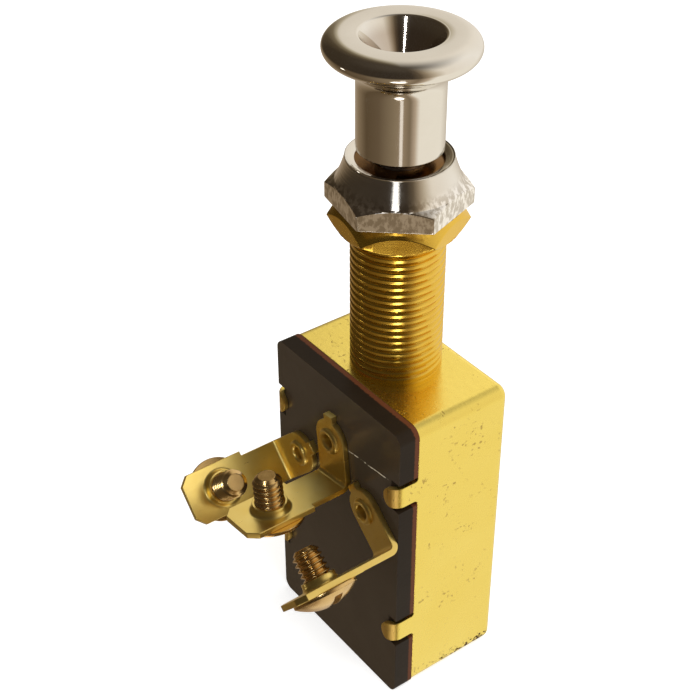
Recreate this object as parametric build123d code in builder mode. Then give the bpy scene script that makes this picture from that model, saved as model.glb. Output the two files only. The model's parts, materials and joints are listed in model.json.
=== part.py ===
from build123d import *

import os
from math import cos, radians, sin, sqrt, tan

# Push-pull switch with a brass case, a threaded stem and three screw terminals.
# Lengths are in millimetres. The origin is where the stem's axis meets the plane that the case
# stands on. +Z points along the stem to the knob, and -Y points out of the terminal board.

os.makedirs("parts", exist_ok=True)

# Fits
running_fit = 0.06
guide_fit = 0.15
seat_fit = 0.05
thread_fit = 0.02
contact_gap = 0.05

# Case, a drawn shell that is open at the front
case_width = 28.2
case_height = 48.6
case_front = 7.05
case_back = 8.5
shell_wall = 0.8
shell_corner = 1.8
shell_back_edge = 1.2

# Terminal board
board_thickness = 3.2
board_corner = 1.4

# Crimp tabs, two on each side of the case
tab_width = 3.4
tab_reach = 2.45
tab_low = 12.6
tab_drop = 10.45
tab_bend = 1.85
tab_root = 0.6
tab_tip = 1.6

# Stem
stem_radius = 6.35
stem_height = 31.4
stem_chamfer = 0.5
stem_tail_radius = 5.2
stem_flange_radius = 6.3
stem_flange = 1.0
stem_thread_depth = 0.6

# Face nut, a hexagon with a conical collar that stands past the stem's end
face_nut_flats = 16.7
face_nut_hexagon = 2.95
face_nut_slope = 31
face_nut_turn = -11.4
collar_waist_radius = 7.5
collar_rim_radius = 7.0
collar_height = 3.65
collar_overhang = 0.7
collar_waist = 1.9
collar_dish = 0.4

# Back nut, whose crown and foot both slope down to its corners
back_nut_undersize = 0.5
back_nut_thickness = 3.4
back_nut_crown_radius = 7.0
back_nut_crown_slope = 45
back_nut_foot_slope = 37
back_nut_turn = -9.0

# Plunger shaft
shaft_radius = 3.175
shaft_neck_radius = 2.2
shaft_tip_radius = 2.5
shaft_tip_length = 5.6
shaft_seat = 3.0
shaft_groove_depth = 0.5
shaft_floor_gap = 0.05

# Knob
knob_gap = 1.6
knob_shank_radius = 5.65
knob_shank_length = 9.0
knob_head_radius = 9.8
knob_head_height = 13.75
knob_rim_half_width = 2.2
knob_rim_half_height = 1.6
knob_rim_start = -65
knob_rim_turn = 155
knob_recess_radius = 5.4
knob_recess_floor = 1.7
knob_recess_depth = 5.6
knob_lip = 0.3
knob_foot_chamfer = 0.3

# Travel from off, through one click, to fully out
click = 6.35
clicks = 2

# Terminals, bent from one strip
strip_thickness = 0.9
strip_width = 6.3
pad_width = 7.65
neck_reach = 6.7
pad_reach = 17.1
pad_corner = 1.3
foot_length = 7.1
foot_end = 3.25
bend_radius = 0.6
lug_width = 1.9
lug_depth = 1.5
screw_reach = 11.5
boss_radius = 2.5
boss_flare = 0.6
boss_rise = 1.2

# Each eyelet's place across the board and below its top, and the turn of its terminal
left_across = -7.9
left_drop = 16.5
left_turn = 46.0
centre_across = -0.4
centre_drop = 9.3
centre_turn = -7.0
right_across = 7.5
right_drop = 16.7
right_turn = -49.0

# Terminal screws
screw_radius = 2.08
screw_length = 6.35
screw_head_radius = 4.7
screw_head_height = 2.2
screw_head_edge = 0.5
screw_slot = 1.2
screw_slot_depth = 1.05
screw_point = 0.8

# Eyelets
eyelet_tube_radius = 1.4
eyelet_bore_radius = 1.0
eyelet_head_radius = 2.0
eyelet_head = 0.5
contact_radius = 1.9
contact_head = 0.6

# Slider, the insulating moulding on the shaft
slider_height = 21.0
slider_shoulder_gap = 0.25
slider_edge = 0.8
pocket_depth = 1.3

# Contact bridge and its springs
bridge_width = 20.6
bridge_height = 12.6
bridge_thickness = 0.8
bridge_lead = 0.5
bridge_clear = 0.6
bridge_boss_radius = 0.9
bridge_boss = 0.7
spring_spacing = 12.0
spring_radius = 1.6
spring_wire_radius = 0.25
spring_turns = 3.5
spring_seat_depth = 3.6

# Washers and clip
thrust_washer = 0.8
thrust_washer_radius = 5.4
stop_washer = 1.0
stop_washer_radius = 6.0
clip_thickness = 0.6
clip_radius = 3.8

# Detent leaf
leaf_thickness = 0.4
leaf_width = 5.0
leaf_nose_radius = 1.5
leaf_nose_reach = 1.1
leaf_foot = 5.0
leaf_bend_radius = 0.6
leaf_channel_gap = 0.3
notch_clear = 0.1
channel_floor = 5.2
first_notch_drop = 5.25

# Heights and planes that the values above give
board_rear = -case_front
board_face = board_rear - board_thickness
posts = {
    "left": (left_across, case_height - left_drop, left_turn),
    "centre": (centre_across, case_height - centre_drop, centre_turn),
    "right": (right_across, case_height - right_drop, right_turn),
}
notch_width = tab_width + 2 * (tab_root + guide_fit)
roof = case_height - shell_wall
tab_high = case_height - tab_drop
stem_top = case_height + stem_height
travel = click * clicks
stop_face = roof - stem_flange - stop_washer
slider_top = stop_face - seat_fit - travel - thrust_washer
slider_floor = slider_top - slider_height
shoulder_height = slider_top + thrust_washer
knob_foot = stem_top + knob_gap
collar_rim = stem_top + collar_overhang
collar_foot = collar_rim - collar_height
collar_base_radius = face_nut_flats / 2
back_nut_top = collar_foot - face_nut_hexagon
back_nut_foot = back_nut_top - back_nut_thickness
back_nut_flats = face_nut_flats - back_nut_undersize
inner_back = case_back - shell_wall
slider_back = inner_back - guide_fit
contact_plane = board_rear + contact_head
slider_front = contact_plane + slider_shoulder_gap
bridge_front = contact_plane + contact_gap
bridge_back = bridge_front + bridge_thickness
pocket_floor = slider_front + pocket_depth
side_contact = min(height for across, height, turn in posts.values())
bridge_top = side_contact - contact_radius - bridge_clear
bridge_middle = bridge_top - bridge_height / 2
spring_seat = pocket_floor + spring_seat_depth
notch_height = slider_top - first_notch_drop


def foot_plane(post):
    """Plane on the board's face at an eyelet, with its y axis pointing to the foot's end."""
    across, height, turn = post
    sideways = (cos(radians(turn)), 0, -sin(radians(turn)))
    return Plane(origin=(across, board_face, height), x_dir=sideways, z_dir=(0, -1, 0))


def pad_plane(post):
    """Plane on the terminal's outer side at the tapped hole, with its y axis out of the board."""
    foot = foot_plane(post)
    hole = foot.from_local_coords(Vector(0, -foot_length, screw_reach))
    return Plane(origin=hole, x_dir=foot.x_dir * -1, z_dir=foot.y_dir)


def finish(builder, name):
    """Label a finished piece and write its file."""
    builder.part.label = name
    export_step(builder.part, f"parts/{name}.step")


# Case: the shell is drawn in one piece, with its tabs folded over the board's face
with BuildPart() as housing:
    with BuildSketch(Plane.XZ.offset(-case_back)):
        with Locations((0, case_height / 2)):
            RectangleRounded(case_width, case_height, shell_corner)
    extrude(amount=case_back + case_front)
    fillet(housing.faces().sort_by(Axis.Y)[-1].edges(), shell_back_edge)
    with BuildSketch(Plane.XZ.offset(case_front)):
        with Locations((0, case_height / 2)):
            RectangleRounded(
                case_width - 2 * shell_wall, case_height - 2 * shell_wall, shell_corner - shell_wall
            )
    extrude(amount=-(case_front + inner_back), mode=Mode.SUBTRACT)
    with Locations((0, 0, case_height)):
        Hole(stem_tail_radius, depth=2 * shell_wall)
    for tab_middle in (tab_low, tab_high):
        with BuildSketch(Plane.XY.offset(tab_middle)) as tab:
            with Locations((case_width / 2, board_rear)):
                Rectangle(
                    shell_wall, board_thickness + shell_wall, align=(Align.MAX, Align.MAX)
                )
            with Locations((case_width / 2, board_face)):
                Rectangle(tab_reach, shell_wall, align=(Align.MAX, Align.MAX))
            outer_corner = (case_width / 2, board_face - shell_wall, 0)
            fillet(tab.vertices().sort_by_distance(outer_corner)[0], tab_bend)
            inner_corner = (case_width / 2 - shell_wall, board_face, 0)
            fillet(tab.vertices().sort_by_distance(inner_corner)[0], tab_bend - shell_wall)
            mirror(about=Plane.YZ)
        extrude(amount=tab_width / 2, both=True)
    tab_tips = (
        housing.edges()
        .filter_by(Axis.Y)
        .filter_by_position(Axis.Y, board_face - shell_wall, board_face)
        .filter_by_position(
            Axis.X, -case_width / 2 + tab_reach - seat_fit, case_width / 2 - tab_reach + seat_fit
        )
    )
    fillet(tab_tips, tab_tip)
    tab_roots = (
        housing.edges()
        .filter_by(Axis.X)
        .filter_by_position(Axis.Y, board_rear - seat_fit, board_rear + seat_fit)
        .filter_by(lambda edge: edge.length < tab_width)
    )
    fillet(tab_roots, tab_root)
finish(housing, "housing")

# Board: it closes the shell, and is notched at its edges for the tabs
with BuildPart() as terminal_board:
    with BuildSketch(Plane.XZ.offset(case_front)):
        with Locations((0, case_height / 2)):
            RectangleRounded(case_width, case_height, board_corner)
        for side in (-1, 1):
            for tab_middle in (tab_low, tab_high):
                with Locations((side * case_width / 2, tab_middle)):
                    Rectangle(2 * (shell_wall + seat_fit), notch_width, mode=Mode.SUBTRACT)
        for post in posts.values():
            with Locations(post[:2]):
                Circle(eyelet_tube_radius, mode=Mode.SUBTRACT)
    extrude(amount=board_thickness)
    notch_edges = (
        terminal_board.edges()
        .filter_by(Axis.Z)
        .filter_by_position(Axis.Y, board_face - seat_fit, board_face + seat_fit)
        .filter_by_position(Axis.X, shell_wall - case_width / 2, case_width / 2 - shell_wall)
    )
    fillet(notch_edges, tab_bend - shell_wall - seat_fit)
    for post in posts.values():
        with BuildSketch(foot_plane(post)):
            with Locations((0, foot_end + strip_thickness / 2)):
                Rectangle(lug_width + 2 * seat_fit, strip_thickness + 2 * seat_fit)
        extrude(amount=-lug_depth - seat_fit, mode=Mode.SUBTRACT)
finish(terminal_board, "terminal_board")

# Stem: its tail goes through the case and is staked over inside
with BuildPart() as stem_bushing:
    with BuildSketch(Plane.XZ):
        bore = shaft_radius + running_fit
        with BuildLine():
            Polyline(
                (bore, roof - stem_flange),
                (stem_flange_radius, roof - stem_flange),
                (stem_flange_radius, roof),
                (stem_tail_radius, roof),
                (stem_tail_radius, case_height),
                (stem_radius, case_height),
                (stem_radius, stem_top - stem_chamfer),
                (stem_radius - stem_chamfer, stem_top),
                (bore, stem_top),
                close=True,
            )
        make_face()
    revolve(axis=Axis.Z)
finish(stem_bushing, "stem_bushing")

# Back nut: cones ease its foot from the flats outwards, and its crown from a smaller circle
with BuildPart() as back_nut:
    with BuildSketch(Plane.XY.offset(back_nut_foot)):
        RegularPolygon(back_nut_flats / 2, 6, major_radius=False, rotation=back_nut_turn)
        Circle(stem_radius + thread_fit, mode=Mode.SUBTRACT)
    extrude(amount=back_nut_thickness)
    corner = back_nut_flats / sqrt(3)
    foot_rise = (corner - back_nut_flats / 2) * tan(radians(back_nut_foot_slope))
    crown_fall = (corner - back_nut_crown_radius) * tan(radians(back_nut_crown_slope))
    with BuildSketch(Plane.XZ):
        with BuildLine():
            Polyline(
                (0, back_nut_foot),
                (back_nut_flats / 2, back_nut_foot),
                (corner, back_nut_foot + foot_rise),
                (corner, back_nut_top),
                (0, back_nut_top),
                close=True,
            )
        make_face()
    revolve(axis=Axis.Z, mode=Mode.INTERSECT)
    with BuildSketch(Plane.XZ):
        with BuildLine():
            Polyline(
                (0, back_nut_foot),
                (corner, back_nut_foot),
                (corner, back_nut_top - crown_fall),
                (back_nut_crown_radius, back_nut_top),
                (0, back_nut_top),
                close=True,
            )
        make_face()
    revolve(axis=Axis.Z, mode=Mode.INTERSECT)
finish(back_nut, "back_nut")

# Face nut: a chromed hexagon with a conical collar that closes in over the stem's end
with BuildPart() as face_nut:
    with BuildSketch(Plane.XY.offset(back_nut_top)):
        RegularPolygon(face_nut_flats / 2, 6, major_radius=False, rotation=face_nut_turn)
    extrude(amount=face_nut_hexagon)
    with BuildSketch(Plane.XZ):
        corner = face_nut_flats / sqrt(3)
        shoulder = collar_foot - (corner - collar_base_radius) * tan(radians(face_nut_slope))
        with BuildLine():
            Polyline(
                (0, back_nut_top),
                (corner, back_nut_top),
                (corner, shoulder),
                (collar_base_radius, collar_foot),
                (0, collar_foot),
                close=True,
            )
        make_face()
    revolve(axis=Axis.Z, mode=Mode.INTERSECT)
    with BuildSketch(Plane.XZ):
        with BuildLine():
            Line((0, collar_foot), (collar_base_radius, collar_foot))
            Spline(
                (collar_base_radius, collar_foot),
                (collar_waist_radius, collar_foot + collar_waist),
                (collar_rim_radius, collar_rim),
            )
            Polyline((collar_rim_radius, collar_rim), (0, collar_rim), (0, collar_foot))
        make_face()
    revolve(axis=Axis.Z)
    with BuildSketch(Plane.XZ):
        with BuildLine():
            mouth = stem_radius - stem_thread_depth
            Polyline(
                (0, back_nut_top),
                (stem_radius + thread_fit, back_nut_top),
                (stem_radius + thread_fit, stem_top),
                (mouth, stem_top),
                (mouth, collar_rim - collar_dish),
                (collar_rim_radius - collar_dish, collar_rim),
                (0, collar_rim),
                close=True,
            )
        make_face()
    revolve(axis=Axis.Z, mode=Mode.SUBTRACT)
finish(face_nut, "face_nut")

# Shaft: a shoulder for the slider, a neck through it, a clip groove, and a threaded tip
clip_height = slider_floor - clip_thickness
tip_foot = knob_foot + shaft_seat
with BuildPart() as shaft:
    with BuildSketch(Plane.XZ):
        with BuildLine():
            groove = shaft_neck_radius - shaft_groove_depth
            Polyline(
                (0, shell_wall + shaft_floor_gap),
                (shaft_neck_radius, shell_wall + shaft_floor_gap),
                (shaft_neck_radius, clip_height),
                (groove, clip_height),
                (groove, slider_floor),
                (shaft_neck_radius, slider_floor),
                (shaft_neck_radius, shoulder_height),
                (shaft_radius, shoulder_height),
                (shaft_radius, tip_foot),
                (shaft_tip_radius, tip_foot),
                (shaft_tip_radius, tip_foot + shaft_tip_length),
                (0, tip_foot + shaft_tip_length),
                close=True,
            )
        make_face()
    revolve(axis=Axis.Z)
finish(shaft, "shaft")

# Knob: one turned profile, with a rolled rim of elliptical section and a cone sunk in its face
head_middle = knob_foot + knob_head_height
knob_top = head_middle + knob_rim_half_height
rim_middle = knob_head_radius - knob_rim_half_width
shank_top = knob_foot + knob_shank_length
with BuildPart() as knob:
    with BuildSketch(Plane.XZ) as knob_profile:
        with BuildLine():
            Polyline(
                (0, knob_foot),
                (knob_shank_radius - knob_foot_chamfer, knob_foot),
                (knob_shank_radius, knob_foot + knob_foot_chamfer),
                (knob_shank_radius, shank_top),
            )
            rim = EllipticalCenterArc(
                (rim_middle, head_middle),
                knob_rim_half_width,
                knob_rim_half_height,
                knob_rim_start,
                arc_size=knob_rim_turn,
            )
            Spline((knob_shank_radius, shank_top), rim @ 0, tangents=((0, 1), rim % 0))
            Polyline(
                rim @ 1,
                (knob_recess_radius, knob_top),
                (knob_recess_floor, knob_top - knob_recess_depth),
                (0, knob_top - knob_recess_depth),
                (0, knob_foot),
            )
        make_face()
        mouth = (knob_recess_radius, knob_top, 0)
        fillet(knob_profile.vertices().sort_by_distance(mouth)[0], knob_lip)
    revolve(axis=Axis.Z)
    with Locations(Plane((0, 0, knob_foot), z_dir=(0, 0, -1))):
        CounterBoreHole(
            shaft_tip_radius + thread_fit,
            shaft_radius + thread_fit,
            shaft_seat,
            depth=shaft_seat + shaft_tip_length + seat_fit,
        )
finish(knob, "knob")

# Terminals, with their screws and eyelets
for side, post in posts.items():
    foot = foot_plane(post)
    pad = pad_plane(post)
    profile_plane = Plane(origin=foot.origin, x_dir=foot.y_dir, z_dir=foot.x_dir)
    turning_plane = Plane(origin=pad.origin, x_dir=pad.x_dir, z_dir=pad.y_dir * -1)

    with BuildPart() as terminal:
        with BuildSketch(profile_plane) as profile:
            with Locations((-foot_length, 0)):
                Rectangle(
                    foot_length + foot_end, strip_thickness, align=(Align.MIN, Align.MIN)
                )
                Rectangle(strip_thickness, screw_reach, align=(Align.MIN, Align.MIN))
            inner_corner = (strip_thickness - foot_length, strip_thickness, 0)
            fillet(profile.vertices().sort_by_distance(inner_corner)[0], bend_radius)
            outer_corner = (-foot_length, 0, 0)
            fillet(
                profile.vertices().sort_by_distance(outer_corner)[0],
                bend_radius + strip_thickness,
            )
        extrude(amount=strip_width / 2, both=True)
        foot_tip = foot.from_local_coords(Vector(0, foot_end, 0))
        fillet(
            terminal.edges().filter_by(Axis.Y).sort_by_distance(foot_tip)[:2],
            strip_width / 2 - seat_fit,
        )
        with BuildSketch(pad):
            with Locations((0, neck_reach - screw_reach)):
                Rectangle(
                    pad_width, pad_reach - neck_reach, align=(Align.CENTER, Align.MIN)
                )
            chamfer(vertices().group_by(Axis.Y)[-1], pad_corner)
        extrude(amount=strip_thickness)
        with BuildSketch(turning_plane):
            with BuildLine():
                Polyline(
                    (boss_radius + boss_flare, strip_thickness),
                    (0, strip_thickness),
                    (0, strip_thickness + boss_rise),
                    (boss_radius, strip_thickness + boss_rise),
                )
                Spline(
                    (boss_radius, strip_thickness + boss_rise),
                    (boss_radius + boss_flare, strip_thickness),
                    tangents=((0, -1), (1, 0)),
                )
            make_face()
        revolve(axis=Axis(pad.origin, pad.z_dir))
        with Locations(pad):
            Hole(screw_radius + thread_fit)
        with Locations(foot):
            Hole(eyelet_tube_radius)
        with BuildSketch(foot.offset(-lug_depth)):
            with Locations((0, foot_end - strip_thickness)):
                Rectangle(
                    lug_width, 2 * strip_thickness, align=(Align.CENTER, Align.MIN)
                )
        extrude(amount=lug_depth + strip_thickness)
        with BuildSketch(foot.offset(-lug_depth)):
            with Locations((0, foot_end)):
                Rectangle(
                    lug_width, 2 * strip_thickness, align=(Align.CENTER, Align.MAX)
                )
        extrude(amount=lug_depth, mode=Mode.SUBTRACT)
    finish(terminal, f"terminal_{side}")

    with BuildPart() as screw:
        with BuildSketch(turning_plane):
            with BuildLine():
                Polyline(
                    (0, -screw_head_height),
                    (0, screw_length),
                    (screw_radius - screw_point, screw_length),
                    (screw_radius, screw_length - screw_point),
                    (screw_radius, 0),
                    (screw_head_radius, 0),
                    (screw_head_radius, -screw_head_edge),
                )
                Spline(
                    (screw_head_radius, -screw_head_edge),
                    (0, -screw_head_height),
                    tangents=((-0.35, -1), (-1, 0)),
                )
            make_face()
        revolve(axis=Axis(pad.origin, pad.z_dir))
        with BuildSketch(pad.offset(-screw_head_height)):
            Rectangle(2 * screw_head_radius, screw_slot)
        extrude(amount=screw_slot_depth, mode=Mode.SUBTRACT)
    finish(screw, f"screw_{side}")

    with BuildPart() as eyelet:
        with BuildSketch(profile_plane):
            with BuildLine():
                Polyline(
                    (eyelet_bore_radius, -board_thickness - contact_head),
                    (contact_radius - contact_head / 2, -board_thickness - contact_head),
                )
                Line(
                    (contact_radius - contact_head / 2, -board_thickness - contact_head),
                    (contact_radius, -board_thickness - contact_head / 2),
                )
                Polyline(
                    (contact_radius, -board_thickness - contact_head / 2),
                    (contact_radius, -board_thickness),
                    (eyelet_tube_radius, -board_thickness),
                    (eyelet_tube_radius, strip_thickness),
                    (eyelet_head_radius, strip_thickness),
                )
                Spline(
                    (eyelet_head_radius, strip_thickness),
                    (
                        (eyelet_head_radius + eyelet_bore_radius) / 2,
                        strip_thickness + eyelet_head,
                    ),
                    (eyelet_bore_radius, strip_thickness),
                    tangents=((0, 1), (0, -1)),
                )
                Line(
                    (eyelet_bore_radius, strip_thickness),
                    (eyelet_bore_radius, -board_thickness - contact_head),
                )
            make_face()
        revolve(axis=Axis(foot.origin, foot.z_dir))
    finish(eyelet, f"eyelet_{side}")

# Slider: a pocket for the bridge in front, a channel with click notches behind
with BuildPart() as slider:
    slider_depth = slider_back - slider_front
    with BuildSketch(Plane.XY.offset(slider_floor)):
        with Locations((0, slider_front)):
            Rectangle(
                case_width - 2 * (shell_wall + guide_fit),
                slider_depth,
                align=(Align.CENTER, Align.MIN),
            )
        fillet(vertices(), slider_edge)
        Circle(shaft_neck_radius + seat_fit, mode=Mode.SUBTRACT)
    extrude(amount=slider_height)
    with BuildSketch(Plane.XZ.offset(-pocket_floor)):
        with Locations((0, bridge_middle)):
            Rectangle(bridge_width + 2 * guide_fit, bridge_height + 2 * guide_fit)
    extrude(amount=pocket_depth, mode=Mode.SUBTRACT)
    with BuildSketch(Plane.XZ.offset(-pocket_floor)):
        with Locations((0, bridge_middle)):
            with GridLocations(spring_spacing, 0, 2, 1):
                Circle(spring_radius + spring_wire_radius + guide_fit)
    extrude(amount=-spring_seat_depth, mode=Mode.SUBTRACT)
    with BuildSketch(Plane.XY.offset(slider_floor)):
        with Locations((0, channel_floor)):
            Rectangle(
                leaf_width + 2 * guide_fit,
                slider_back - channel_floor,
                align=(Align.CENTER, Align.MIN),
            )
    extrude(amount=slider_height, mode=Mode.SUBTRACT)
    nose_middle = channel_floor - leaf_nose_reach + leaf_nose_radius
    with BuildSketch(Plane.YZ):
        for count in range(clicks + 1):
            with Locations((nose_middle, notch_height - count * click)):
                Circle(leaf_nose_radius + notch_clear)
    extrude(amount=leaf_width / 2 + guide_fit, both=True, mode=Mode.SUBTRACT)
finish(slider, "slider")

# Contact bridge: its leading edges are eased to ride onto the contacts
with BuildPart() as contact_bridge:
    with BuildSketch(Plane.XZ.offset(-bridge_front)):
        with Locations((0, bridge_middle)):
            Rectangle(bridge_width, bridge_height)
    extrude(amount=-bridge_thickness)
    leading_edges = contact_bridge.faces().sort_by(Axis.Y)[0].edges().filter_by(Axis.X)
    chamfer(leading_edges, bridge_lead)
    with BuildSketch(Plane.XZ.offset(-bridge_back)):
        with Locations((0, bridge_middle)):
            with GridLocations(spring_spacing, 0, 2, 1):
                Circle(bridge_boss_radius)
    extrude(amount=-bridge_boss)
finish(contact_bridge, "contact_bridge")

# Contact springs: one is wound from the bridge to the bottom of the slider's bore, and the other
# is the same spring in the other bore
spring_start = bridge_back + spring_wire_radius + contact_gap
spring_length = spring_seat - spring_wire_radius - contact_gap - spring_start
with BuildPart() as contact_spring_left:
    with BuildLine():
        coil = Helix(
            spring_length / spring_turns,
            spring_length,
            spring_radius,
            center=(-spring_spacing / 2, spring_start, bridge_middle),
            direction=(0, 1, 0),
        )
    with BuildSketch(Plane(origin=coil @ 0, z_dir=coil % 0)):
        Circle(spring_wire_radius)
    sweep(path=coil, is_frenet=True)
finish(contact_spring_left, "contact_spring_left")

with BuildPart() as contact_spring_right:
    with Locations((spring_spacing, 0, 0)):
        add(contact_spring_left.part)
finish(contact_spring_right, "contact_spring_right")

# Washers: one under the shaft's shoulder, one under the stem's flange
with BuildPart() as thrust_ring:
    with BuildSketch(Plane.XY.offset(slider_top)):
        Circle(thrust_washer_radius)
        Circle(shaft_neck_radius + seat_fit, mode=Mode.SUBTRACT)
    extrude(amount=thrust_washer)
finish(thrust_ring, "thrust_washer")

with BuildPart() as stop_ring:
    with BuildSketch(Plane.XY.offset(stop_face)):
        Circle(stop_washer_radius)
        Circle(shaft_radius + guide_fit, mode=Mode.SUBTRACT)
    extrude(amount=stop_washer)
finish(stop_ring, "stop_washer")

# Clip: an open ring in the shaft's groove, under the slider
with BuildPart() as shaft_clip:
    with BuildSketch(Plane.XY.offset(clip_height)):
        Circle(clip_radius)
        Circle(shaft_neck_radius - shaft_groove_depth + seat_fit, mode=Mode.SUBTRACT)
        with Locations((0, 0)):
            Rectangle(
                2 * (shaft_neck_radius - shaft_groove_depth),
                clip_radius,
                align=(Align.CENTER, Align.MAX),
                mode=Mode.SUBTRACT,
            )
    extrude(amount=clip_thickness)
finish(shaft_clip, "shaft_clip")

# Detent leaf: a bowed strip between floor and roof, whose nose rests in a slider notch
wall_line = inner_back - leaf_thickness / 2
bow_line = channel_floor + leaf_channel_gap + leaf_thickness / 2
nose_line = channel_floor - leaf_nose_reach + leaf_thickness / 2
with BuildPart() as detent_spring:
    with BuildSketch(Plane.YZ):
        with BuildLine() as leaf_line:
            FilletPolyline(
                (wall_line, shell_wall + seat_fit),
                (wall_line, shell_wall + leaf_foot),
                (bow_line, notch_height - leaf_nose_radius),
                (nose_line, notch_height),
                (bow_line, notch_height + leaf_nose_radius),
                (wall_line, roof - leaf_foot),
                (wall_line, roof - seat_fit),
                radius=leaf_bend_radius,
            )
        trace(line_width=leaf_thickness)
    extrude(amount=leaf_width / 2, both=True)
finish(detent_spring, "detent_spring")
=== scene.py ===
import json
from math import cos, pi, radians, sin, tan

import bmesh
import bpy
import numpy as np
from mathutils import Matrix, Vector


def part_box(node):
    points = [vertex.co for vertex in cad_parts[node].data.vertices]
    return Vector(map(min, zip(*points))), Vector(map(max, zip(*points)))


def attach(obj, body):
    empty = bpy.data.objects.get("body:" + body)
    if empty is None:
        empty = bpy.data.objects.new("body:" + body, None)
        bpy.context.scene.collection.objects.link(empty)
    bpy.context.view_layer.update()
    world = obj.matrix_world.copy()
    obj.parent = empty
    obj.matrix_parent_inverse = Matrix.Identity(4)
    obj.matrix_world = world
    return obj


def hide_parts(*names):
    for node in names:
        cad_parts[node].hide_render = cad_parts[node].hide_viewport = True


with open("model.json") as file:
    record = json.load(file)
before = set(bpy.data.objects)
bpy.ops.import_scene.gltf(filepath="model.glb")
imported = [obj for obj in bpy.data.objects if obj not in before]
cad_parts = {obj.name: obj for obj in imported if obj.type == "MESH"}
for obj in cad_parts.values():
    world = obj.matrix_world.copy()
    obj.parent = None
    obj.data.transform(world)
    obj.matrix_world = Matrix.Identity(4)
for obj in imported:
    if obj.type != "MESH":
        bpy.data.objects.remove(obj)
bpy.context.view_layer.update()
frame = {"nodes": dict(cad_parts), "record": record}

# Push-pull switch: drawn brass case, threaded stem, chromed knob and nut, screw terminals.
# Everything is in metres, in the frame of the solids: +Z along the stem to the knob, -Y out of
# the terminal board, origin under the stem's axis.
mm = 0.001

# Camera, from the case's corners in the photograph
photo_pixels = 700
photo_focal = 1457
sensor_width = 36
view_azimuth = 53.43
view_elevation = 36.09
view_roll = -0.115
view_distance = 201.5 * mm
view_right = -6.31 * mm
view_up = 1.34 * mm

# What the solids and the record say
record = frame["record"]
body_of = {node: body for body, nodes in record["behaviour"]["bodies"].items() for node in nodes}
slot_of = {part["node"]: part["material_slot"] for part in record["subparts"]}
mounts = {mount["name"]: mount for mount in record["mounts"]}
case_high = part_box("housing")[1]
stem_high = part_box("stem_bushing")[1]
back_nut_low, back_nut_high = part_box("back_nut")
face_nut_low, face_nut_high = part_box("face_nut")
knob_low, knob_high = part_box("knob")
board_front, board_back = (corner.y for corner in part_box("terminal_board"))

# Stem
stem_radius = 6.35 * mm
stem_pitch = 25.4 / 24 * mm
stem_thread_depth = 0.36 * mm
stem_groove_power = 4
stem_chamfer = 0.5 * mm
stem_bore = 3.235 * mm

# Nuts, turned in degrees about the stem
back_nut_flats = 16.2 * mm
back_nut_turn = -9.0
back_nut_foot_slope = tan(radians(37))
back_nut_crown_radius = 7.0 * mm
back_nut_crown_slope = tan(radians(45))
face_nut_flats = 16.7 * mm
face_nut_turn = -11.4
face_nut_slope = tan(radians(31))
nut_mouth = 5.75 * mm

# Face nut's collar. The ways (outward, up) are those of its side at the foot, waist and rim.
collar_height = 3.65 * mm
collar_waist_radius = 7.5 * mm
collar_waist = 1.9 * mm
collar_rim_radius = 7.0 * mm
collar_dish = 0.4 * mm
collar_lip = 0.1 * mm
collar_lip_eases = (0.06 * mm, 0.1 * mm, 0.08 * mm)
collar_foot_way = (-0.6, 1)
collar_waist_way = (-0.36, 1)
collar_rim_way = (-0.24, 1)

# Knob: the rim's section starts under the head, at an angle in degrees
shank_radius = 5.65 * mm
shank_length = 9.0 * mm
shank_chamfer = 0.3 * mm
shank_ease = 0.08 * mm
rim_half_width = 2.2 * mm
rim_half_height = 1.6 * mm
rim_start = -65
recess_radius = 5.4 * mm
recess_lip = 0.3 * mm
recess_floor = 1.7 * mm
recess_floor_ease = 1.5 * mm
recess_depth = 5.6 * mm
liner_thickness = 0.1 * mm

# Rust on the board's edge, and the scratch on its face from one place (x, z) to another
rust_width = 0.8 * mm
scratch_start = (1.96 * mm, 39.16 * mm)
scratch_end = (12.31 * mm, 40.26 * mm)
scratch_fade = 0.5 * mm

# Pits along the foot of the case's right side, from one y to another
case_side = 14.1 * mm
pits_from = -3.5 * mm
pits_to = 8.4 * mm
pits_top = 3.2 * mm

# Terminal screws
screw_radius = 2.08 * mm
screw_length = 6.35 * mm
screw_pitch = 25.4 / 32 * mm
screw_thread_depth = 0.45 * mm
screw_point = 0.8 * mm
screw_tip_edge = 0.1 * mm
head_radius = 4.7 * mm
head_height = 2.2 * mm
head_edge = 0.5 * mm
head_dome_power = 2.2
slot_width = 1.2 * mm
slot_depth = 1.05 * mm

# Eyelets, and the contact face on their inner ends
eyelet_bore = 1.0 * mm
eyelet_head_radius = 2.0 * mm
eyelet_tube = 1.4 * mm
eyelet_roll = 0.5 * mm
contact_setback = 0.1 * mm
contact_chamfer = 0.3 * mm
contact_thickness = 0.6 * mm

# Meshes, in degrees: edges past a crease stay sharp, facets within the flat angle are joined
crease_angle = 35
back_nut_crease = 20
face_nut_crease = 25
stem_crease = 50
screw_crease = 60
flat_angle = 0.6
merge_distance = 0.0005 * mm

# Rounding of the edges
back_nut_edge = 0.09 * mm
face_nut_edge = 0.1 * mm
case_edge = 0.12 * mm
board_edge = 0.045 * mm
strip_edge = 0.1 * mm
screw_edge = 0.06 * mm

# Studio: fades from one elevation to another in degrees, and heights that the panels aim at
horizon_fade = (-22, -4)
zenith_fade = (34, 90)
floor_reach = 3.0
floor_grey = (0.8, 0.8, 0.8)
floor_glow = 0.45
soft_lamp_place = (0.35, -0.05, 0.55)
soft_lamp_size = 0.4
soft_lamp_power = 2.2
panel_distance = 0.3
shank_height = 88 * mm
thread_height = 62 * mm
pads_height = 30 * mm


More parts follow.
